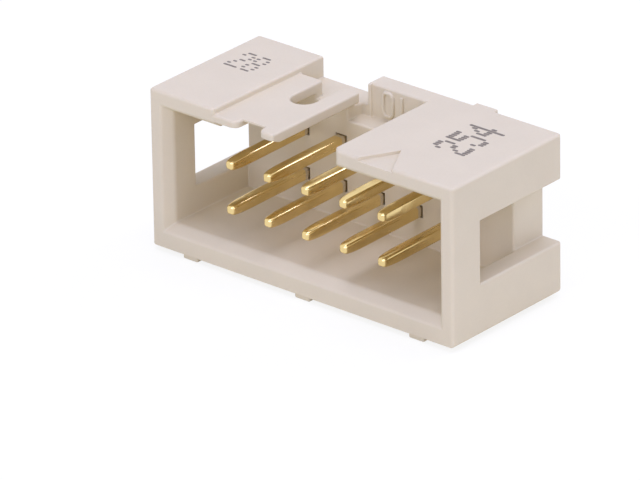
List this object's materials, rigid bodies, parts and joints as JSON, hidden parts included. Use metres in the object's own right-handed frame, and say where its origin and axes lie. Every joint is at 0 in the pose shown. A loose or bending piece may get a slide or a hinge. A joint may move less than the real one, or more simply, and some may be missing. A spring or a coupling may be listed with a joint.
{
  "type": "box header",
  "caption": "Straight light grey box header for a flat-cable socket: an open keyed shroud with end windows and two rows of square gold-plated contacts.",
  "frame": {"origin": "middle of the ten-contact grid, on the housing's board-side face", "axes": "+X along the contact rows, +Y out of the board side along the solder tails, so the mouth faces -Y, and +Z towards the long wall with the key slot"},
  "size_m": [0.0204, 0.0117, 0.0092],
  "materials": {
    "housing_plastic": "light pebble grey glass-filled polyester, satin as moulded",
    "contact_plating": "bright gold plating on the mating length, matt tin on the solder tail"
  },
  "bodies": {
    "root": {"housing": "housing_plastic", "contact_1": "contact_plating", "contact_2": "contact_plating", "contact_3": "contact_plating", "contact_4": "contact_plating", "contact_5": "contact_plating", "contact_6": "contact_plating", "contact_7": "contact_plating", "contact_8": "contact_plating", "contact_9": "contact_plating", "contact_10": "contact_plating"}
  },
  "joints": []
}
